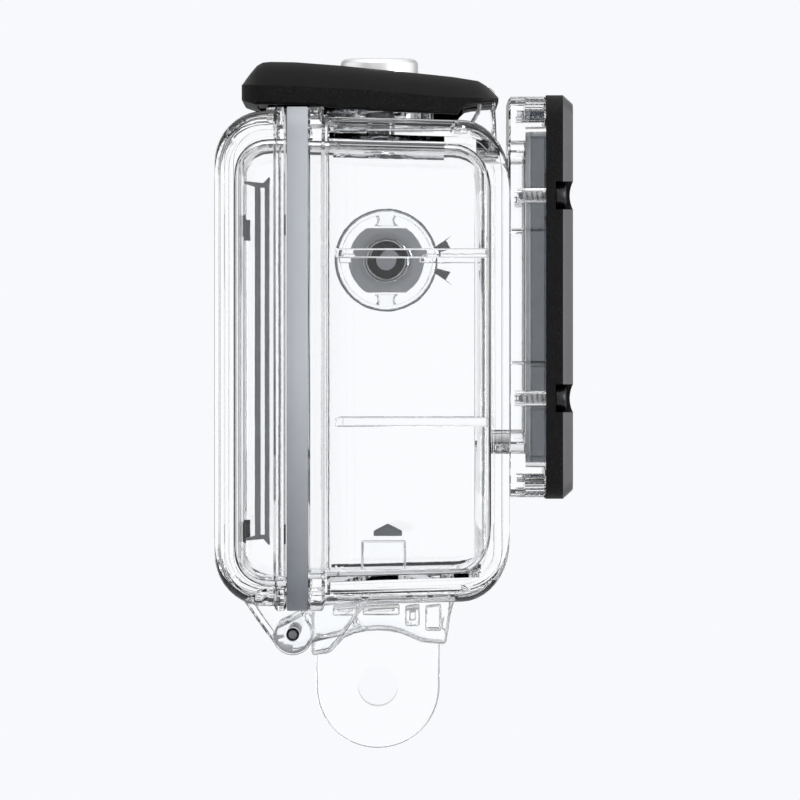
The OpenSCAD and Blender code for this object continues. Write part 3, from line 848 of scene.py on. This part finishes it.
def latch_lid():
    """Black lid, hollow below, slotted for the ears; satin on top and grained on its sides."""
    ys = sorted({round(t, 3) for t, _ in LID_TOP + LID_LOW} | LID_BETWEEN, reverse=True)
    lid = loft("latch_lid", [lid_loop(y) for y in ys])
    hollow = [(14.9, 69), (14.9, 75.2), (10.2, 75.4), (4.5, 75.0), (-4.9, 74.1), (-10.6, 73.2), (-10.6, 69)]
    cuts = [prism("hollow", hollow, -26.6, 26.6), rod("hole", SHUTTER, 5.65, (69, 80), "Z", 64)]
    for x0, x1 in ((-22.1, -16.9), (-3.1, 3.1), (3.9, 9.1)):
        cuts.append(prism("slot", [(-17, 69), (-17, 79), (-10.8, 79), (-10.8, 69)], x0, x1))
    joined(lid, cuts, "DIFFERENCE")
    finish_piece(lid, "latch", BLACK_TOP, ("latch_lever",), 28)
    lid.data.materials.append(BLACK_GRAIN)
    for p in lid.data.polygons:
        y, z = p.center.y / MM, p.center.z / MM
        if p.normal.z < 0.3 and z < follow(LID_CREASE, y) + 0.02:
            p.material_index = 1
    return lid


# ---------------------------------------------------------------- buttons


def shutter_button():
    """Silver cap, hollow below."""
    profile = [(0.001, 77.93), (3.9, 77.96), (4.3, 77.9), (4.62, 77.72), (4.8, 77.35), (4.8, 73.5)]
    profile += [(4.6, 73.4), (3.5, 73.4), (3.4, 73.5), (3.4, 76.3), (0.001, 76.4)]
    cap = turned("shutter_cap_turned", profile, SHUTTER, steps=96)
    return finish_piece(cap, "shutter", SILVER, ("shutter_cap",), 40)


def side_guide():
    """Clear ring round the side button: a black line painted at its foot as shade, two flared tabs, two
    struts.
    """
    y0, z0 = SIDE_Y, SIDE_Z
    profile = [(5.77, 39.02), (6.55, 39.02), (6.55, 39.1), (6.36, 39.6), (6.36, 41.4)]
    profile += [(6.2, 41.58), (5.9, 41.58), (5.77, 41.4)]
    ring = turned("guide_ring", profile, (0, y0, z0), "X", 96)
    waist = [(1.6, 4.35), (1.2, 4.7), (1.1, 5.2), (1.5, 5.9)]
    flare = waist + [(-y, z) for y, z in reversed(waist)]
    parts = []
    for s in (-1, 1):
        sides = [[(x, y0 + k * y, z0 + s * z) for y, z in flare] for x, k in ((39.02, 1.0), (41.5, 0.72))]
        parts.append(bevelled(loft("tab", sides), 0.08))
        fork = [(-6, 1.5), (-8.4, 3.2), (-7.6, 2.5), (-8.2, 1.5), (-6.2, 1.0)]
        parts.append(prism("strut", [(y0 + y, z0 + s * z) for y, z in fork], 39.02, 39.6))
    joined(ring, parts, "UNION")
    finish_piece(ring, "housing", CLEAR_THIN, ("side_guide",), 30)
    ring.data.materials.append(BLACK_RUBBER)
    # Faces near the ring's foot and out past its rim are painted black: painted shade for the clear ring's
    # dark outline.
    for p in ring.data.polygons:
        x, y, z = p.center / MM
        reach = math.hypot(y - y0, z - z0)
        foot = x < 39.62 and reach > 6.3 and x > 39.1
        p.material_index = int(foot or (reach > 6.75 and x < 39.7))
    return ring


def hinge_rod():
    """Steel rod whose ends show a grey face inside a chamfer painted dark as shade."""
    end = 29.9
    profile = [(0.001, -end + 0.08), (0.5, -end + 0.02), (0.56, -end + 0.1)]
    profile += [(0.79, -end + 0.25), (0.8, -end + 0.4)]
    profile += [(r, -x) for r, x in reversed(profile)]
    rod_piece = turned("hinge_rod", profile, (0, *HINGE), "X", 40)
    finish_piece(rod_piece, "housing", GREY_METAL, ("hinge_pin",), 30)
    rod_piece.data.materials.append(BLACK_STEEL)
    # The end chamfers are painted black: painted shade.
    for p in rod_piece.data.polygons:
        reach = math.hypot(p.center.y / MM - HINGE[0], p.center.z / MM - HINGE[1])
        p.material_index = int(0.52 < reach and abs(p.center.x / MM) > end - 0.35)
    return rod_piece


# ---------------------------------------------------------------- stage

AXIS_Y, AXIS_Z = -2.75, 35.69
CAMERA_FAR = 2000.0
FRAME_WIDE = 100.0
FLOOR_RADIUS, FLOOR_DROP = 0.24, -0.16


def camera():
    """Long lens that looks square at the housing's -X side."""
    data = bpy.data.cameras.new("camera")
    data.sensor_width = 36.0
    data.lens = 36.0 * CAMERA_FAR / FRAME_WIDE
    data.clip_start, data.clip_end = 0.05, 50.0
    obj = bpy.data.objects.new("camera", data)
    obj.location = Vector((-CAMERA_FAR, AXIS_Y, AXIS_Z)) * MM
    obj.rotation_euler = (math.radians(90), 0, math.radians(-90))
    SCENE.collection.objects.link(obj)
    SCENE.camera = obj


class Sky:
    """Short calls for the maths nodes of the world."""

    def __init__(self, tree):
        self.nodes = tree.nodes
        self.links = tree.links
        self.split = self.nodes.new("ShaderNodeSeparateXYZ")
        self.links.new(self.nodes.new("ShaderNodeTexCoord").outputs["Generated"], self.split.inputs[0])

    def calc(self, op, *values):
        n = self.nodes.new("ShaderNodeMath")
        n.operation = op
        for socket, value in zip(n.inputs, values):
            if hasattr(value, "is_output"):
                self.links.new(value, socket)
            else:
                socket.default_value = value
        return n.outputs[0]

    def times(self, a, b):
        return self.calc("MULTIPLY", a, b)

    def less(self, a, b):
        return self.calc("SUBTRACT", a, b)

    def most(self, a, b):
        return self.calc("MAXIMUM", a, b)

    def step(self, value, low, high):
        n = self.nodes.new("ShaderNodeMapRange")
        n.interpolation_type = "SMOOTHSTEP"
        self.links.new(value, n.inputs["Value"])
        n.inputs["From Min"].default_value = low
        n.inputs["From Max"].default_value = high
        return n.outputs["Result"]

    def stripe(self, value, low, high, soft):
        falling = self.less(1.0, self.step(value, high - soft, high))
        return self.times(self.step(value, low, low + soft), falling)

    def slats(self, value, low, high, pitch):
        wave = self.calc("SINE", self.times(self.less(value, low), 2 * math.pi / pitch))
        return self.times(self.step(wave, -0.3, 0.3), self.stripe(value, low, high, 0.02))


def studio_light(sky, diagonal, height):
    """Strength of the lit walls: dimmer at the corners, with dark slats between the panels."""
    dim = sky.most(sky.step(diagonal, 0.45, 0.95), sky.step(height, 0.3, 0.6))
    dim = sky.most(sky.less(dim, sky.step(height, 0.8, 0.95)), 0.0)
    band = sky.most(sky.stripe(height, 0.31, 0.55, 0.04), sky.slats(height, 0.58, 0.8, 0.09))
    band = sky.times(band, sky.less(1.0, sky.step(diagonal, 0.55, 0.75)))
    low = sky.less(1.0, sky.step(height, 0.18, 0.28))
    dark = sky.most(sky.times(sky.slats(diagonal, 0.42, 0.95, 0.13), low), band)
    light = sky.less(1.02, sky.times(dim, 0.38))
    return sky.times(light, sky.less(1.0, sky.times(dark, 0.95)))


def mirror_light(sky, diagonal):
    """Strength that glossy faces reflect: bright above, to the front and rear, and in one stripe."""
    lens_side = sky.step(sky.calc("ABSOLUTE", sky.split.outputs["Y"]), 0.72, 0.88)
    bright = sky.most(sky.step(sky.split.outputs["Z"], 0.4, 0.8), lens_side)
    bright = sky.most(bright, sky.stripe(diagonal, 0.35, 0.6, 0.05))
    return sky.calc("ADD", 0.35, sky.times(bright, 0.62))


def world():
    """Bright studio with dark gaps between its lit walls; the camera sees an even pale backdrop."""
    w = bpy.data.worlds.new("studio")
    w.use_nodes = True
    SCENE.world = w
    sky = Sky(w.node_tree)
    nodes, links = sky.nodes, sky.links
    turn = sky.calc("ARCTAN2", sky.split.outputs["Y"], sky.split.outputs["X"])
    diagonal = sky.calc("ABSOLUTE", sky.calc("SINE", sky.times(turn, 2.0)))
    height = sky.calc("ABSOLUTE", sky.split.outputs["Z"])
    path = nodes.new("ShaderNodeLightPath")
    bounced = sky.most(sky.less(path.outputs["Is Reflection Ray"], path.outputs["Is Diffuse Ray"]), 0.0)
    rest = sky.times(studio_light(sky, diagonal, height), sky.less(1.0, bounced))
    light = sky.calc("ADD", rest, sky.times(mirror_light(sky, diagonal), bounced))
    background = nodes["Background"]
    background.inputs["Color"].default_value = (0.99, 0.992, 1.0, 1.0)
    links.new(light, background.inputs["Strength"])
    plain = nodes.new("ShaderNodeBackground")
    plain.inputs["Color"].default_value = (0.939, 0.947, 0.973, 1)
    mix = nodes.new("ShaderNodeMixShader")
    links.new(path.outputs["Is Camera Ray"], mix.inputs["Fac"])
    links.new(background.outputs[0], mix.inputs[1])
    links.new(plain.outputs[0], mix.inputs[2])
    links.new(mix.outputs[0], nodes["World Output"].inputs["Surface"])


def area(name, place, size, power):
    """Soft light aimed at the housing's middle."""
    aim = (0, 0, 40)
    light = bpy.data.lights.new(name, "AREA")
    light.shape = "RECTANGLE"
    light.size, light.size_y = (s * MM for s in size)
    light.energy = power
    obj = bpy.data.objects.new(name, light)
    obj.location = Vector(place) * MM
    obj.rotation_euler = (Vector(aim) * MM - obj.location).to_track_quat("-Z", "Y").to_euler()
    obj.visible_camera = False
    SCENE.collection.objects.link(obj)


def floor():
    """Plain pale disc well below the housing."""
    bm = bmesh.new()
    bmesh.ops.create_circle(bm, cap_ends=True, segments=96, radius=FLOOR_RADIUS)
    for v in bm.verts:
        v.co.z = FLOOR_DROP
    mesh = bpy.data.meshes.new("floor")
    bm.to_mesh(mesh)
    bm.free()
    obj = bpy.data.objects.new("floor", mesh)
    SCENE.collection.objects.link(obj)
    s = Shader("pale_floor").set(Roughness=0.8)
    s.link(s.blend(s.noise(40), (0.86, 0.87, 0.9), (0.88, 0.89, 0.92)), "Base Color")
    mesh.materials.append(s.mat)


# ---------------------------------------------------------------- build

camera()
world()
floor()
area("top_soft", (-150, 60, 400), (260, 260), 0.35)
area("front_soft", (-260, -330, 120), (200, 260), 1.2)

clear_housing()
clear_port()
port_window()
port_seal()
black_frame()
for number, place in enumerate(screw_places()):
    screw(number, *place)
clear_door()
seal()
cushion()
floor_pad()
latch_lid()
shutter_button()
side_guide()
hinge_rod()

for name, material, width in (
    ("latch_pin", STEEL, 0.1), ("shutter_bushing", DARK, 0.1), ("side_bushing", DARK, 0.1),
    ("upper_pad", GREY_RUBBER, 0.15), ("lower_pad", BLACK_RUBBER, 0.15), ("latch_hook", BLACK_TOP, 0.15),
    ("shutter_stem", STEEL, 0.05), ("shutter_ring", BLACK_RUBBER, 0.0), ("shutter_clip", STEEL, 0.05),
    ("shutter_spring", STEEL, 0.0), ("side_cap", GREY_METAL, 0.1), ("side_stem", GREY_METAL, 0.05),
    ("side_pusher", BLACK_RUBBER, 0.1), ("side_ring", BLACK_RUBBER, 0.0), ("side_clip", STEEL, 0.05),
    ("side_spring", STEEL, 0.0),
):
    keep(name, material, width)

SCENE.view_settings.view_transform = "Standard"
SCENE.cycles.max_bounces = 64
SCENE.cycles.transmission_bounces = 64
SCENE.cycles.glossy_bounces = 8
SCENE.cycles.transparent_max_bounces = 16
SCENE.cycles.caustics_refractive = True
